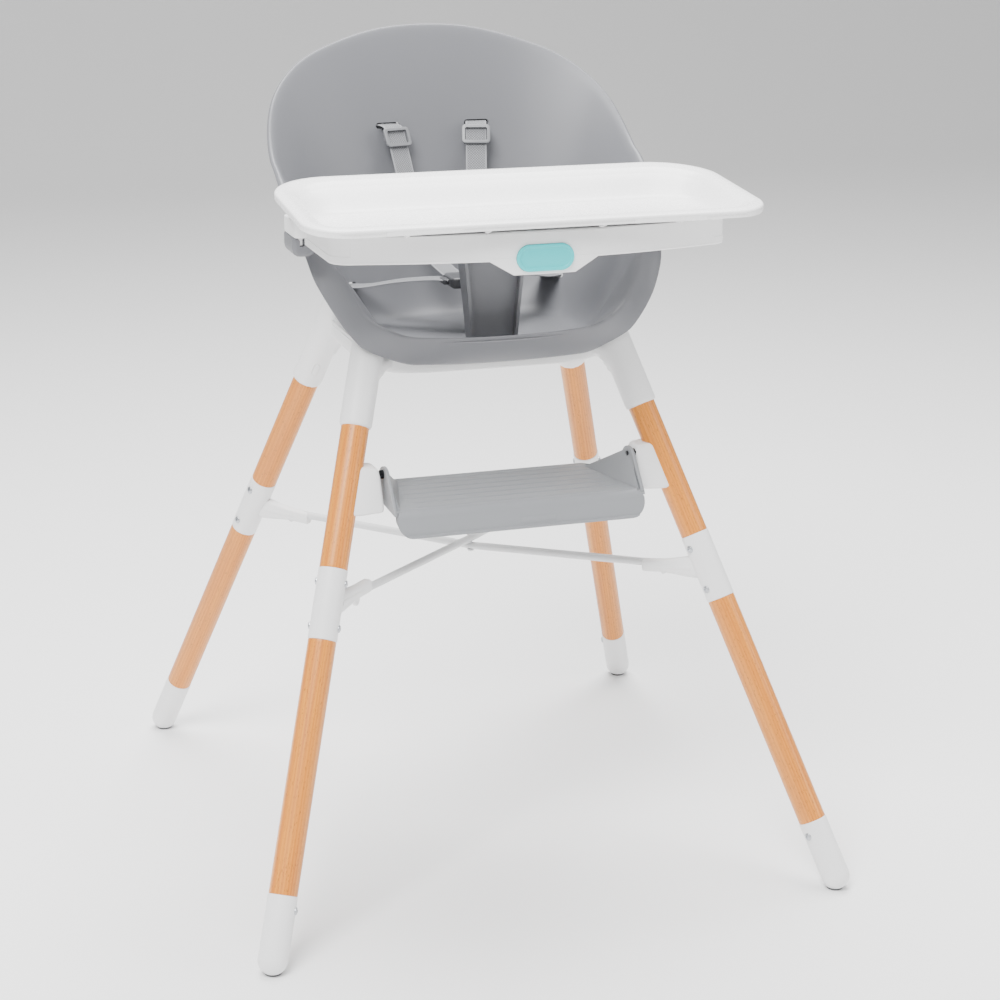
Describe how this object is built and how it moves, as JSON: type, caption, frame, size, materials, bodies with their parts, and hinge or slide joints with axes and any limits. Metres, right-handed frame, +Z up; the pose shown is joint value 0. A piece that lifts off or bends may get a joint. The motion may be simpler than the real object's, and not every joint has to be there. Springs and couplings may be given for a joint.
{
  "type": "baby high chair",
  "caption": "Baby high chair: moulded bucket seat on splayed wooden legs, with sliding tray, liftable footrest, cross brace and harness.",
  "frame": {"origin": "on the floor, at the middle of the rectangle of the four feet", "axes": "+Z up, -Y is the side that the child faces, +X is the child's left"},
  "size_m": [0.6806, 0.731, 0.9309],
  "materials": {
    "shell_grey": "satin grained polypropylene",
    "footrest_grey": "satin",
    "white_plastic": "satin",
    "tray_white": "soft gloss",
    "beech": "clear satin lacquer",
    "rubber_grey": "matte",
    "zinc_steel": "zinc plated",
    "dark_steel": "black oxide",
    "painted_rod": "pale powder coat",
    "teal_plastic": "soft gloss",
    "webbing_grey": "woven",
    "buckle_dark": "satin"
  },
  "bodies": {
    "frame": {"arm_rail_left": "shell_grey", "arm_rail_right": "shell_grey", "brace_arm_front_left": "white_plastic", "brace_arm_front_right": "white_plastic", "brace_arm_rear_left": "white_plastic", "brace_arm_rear_right": "white_plastic", "brace_rivet": "painted_rod", "brace_rod_lower": "painted_rod", "brace_rod_upper": "painted_rod", "bracket_screws": "zinc_steel", "collar_bolts": "zinc_steel", "collar_nuts": "zinc_steel", "crotch_post": "shell_grey", "crotch_strap": "webbing_grey", "foot_cap_front_left": "white_plastic", "foot_cap_front_right": "white_plastic", "foot_cap_rear_left": "white_plastic", "foot_cap_rear_right": "white_plastic", "foot_cap_screws": "zinc_steel", "foot_pad_front_left": "rubber_grey", "foot_pad_front_right": "rubber_grey", "foot_pad_rear_left": "rubber_grey", "foot_pad_rear_right": "rubber_grey", "footrest_bracket_left": "white_plastic", "footrest_bracket_right": "white_plastic", "footrest_pins": "dark_steel", "hub_screws": "zinc_steel", "lap_buckle": "buckle_dark", "leg_collar_front_left": "white_plastic", "leg_collar_front_right": "white_plastic", "leg_collar_rear_left": "white_plastic", "leg_collar_rear_right": "white_plastic", "lower_leg_front_left": "beech", "lower_leg_front_right": "beech", "lower_leg_rear_left": "beech", "lower_leg_rear_right": "beech", "seat_hub": "white_plastic", "seat_shell": "shell_grey", "shoulder_strap_left": "webbing_grey", "shoulder_strap_right": "webbing_grey", "strap_anchors": "buckle_dark", "strap_sliders": "buckle_dark", "upper_leg_front_left": "beech", "upper_leg_front_right": "beech", "upper_leg_rear_left": "beech", "upper_leg_rear_right": "beech", "waist_straps": "webbing_grey"},
    "tray": {"tray_base": "white_plastic", "tray_bottom_plate": "white_plastic", "tray_screws": "zinc_steel", "button_spring": "zinc_steel"},
    "tray_cover": {"tray_cover": "tray_white"},
    "release_button": {"release_button": "teal_plastic"},
    "latch_left": {"latch_left": "white_plastic"},
    "latch_right": {"latch_right": "white_plastic"},
    "footrest": {"footrest": "footrest_grey"},
    "leg_lock_button_front_left": {"leg_lock_button_front_left": "white_plastic"},
    "leg_lock_button_front_right": {"leg_lock_button_front_right": "white_plastic"},
    "leg_lock_button_rear_left": {"leg_lock_button_rear_left": "white_plastic"},
    "leg_lock_button_rear_right": {"leg_lock_button_rear_right": "white_plastic"}
  },
  "joints": [
    {"name": "tray_slide", "type": "slide", "parent": "frame", "child": "tray", "axis": [0, -1, 0], "range_m": [0, 0.06]},
    {"name": "cover_lift", "type": "slide", "parent": "tray", "child": "tray_cover", "axis": [0, 0, 1], "range_m": [0, 0.03]},
    {"name": "release_push", "type": "slide", "parent": "tray", "child": "release_button", "axis": [0, 1, 0], "range_m": [0, 0.006], "stiffness_N_per_m": 900, "springref_m": -0.001, "deforming": ["button_spring"]},
    {"name": "latch_left_draw", "type": "slide", "parent": "tray", "child": "latch_left", "axis": [-1, 0, 0], "range_m": [0, 0.005]},
    {"name": "latch_right_draw", "type": "slide", "parent": "tray", "child": "latch_right", "axis": [1, 0, 0], "range_m": [0, 0.005]},
    {"name": "footrest_lift", "type": "hinge", "parent": "frame", "child": "footrest", "pos_m": [0, -0.149, 0.474], "axis": [-1, 0, 0], "range_deg": [0, 75]},
    {"name": "leg_lock_front_left_press", "type": "slide", "parent": "frame", "child": "leg_lock_button_front_left", "axis": [-0.1173, -0.9173, 0.3806], "range_m": [0, 0.0025], "stiffness_N_per_m": 600, "springref_m": -0.001},
    {"name": "leg_lock_front_right_press", "type": "slide", "parent": "frame", "child": "leg_lock_button_front_right", "axis": [0.1173, -0.9173, 0.3806], "range_m": [0, 0.0025], "stiffness_N_per_m": 600, "springref_m": -0.001},
    {"name": "leg_lock_rear_left_press", "type": "slide", "parent": "frame", "child": "leg_lock_button_rear_left", "axis": [-0.1173, 0.9173, 0.3806], "range_m": [0, 0.0025], "stiffness_N_per_m": 600, "springref_m": -0.001},
    {"name": "leg_lock_rear_right_press", "type": "slide", "parent": "frame", "child": "leg_lock_button_rear_right", "axis": [0.1173, 0.9173, 0.3806], "range_m": [0, 0.0025], "stiffness_N_per_m": 600, "springref_m": -0.001}
  ],
  "couplings": [
    {"joint": "latch_left_draw", "follows": "release_push", "ratio": 0.8333},
    {"joint": "latch_right_draw", "follows": "release_push", "ratio": 0.8333}
  ]
}
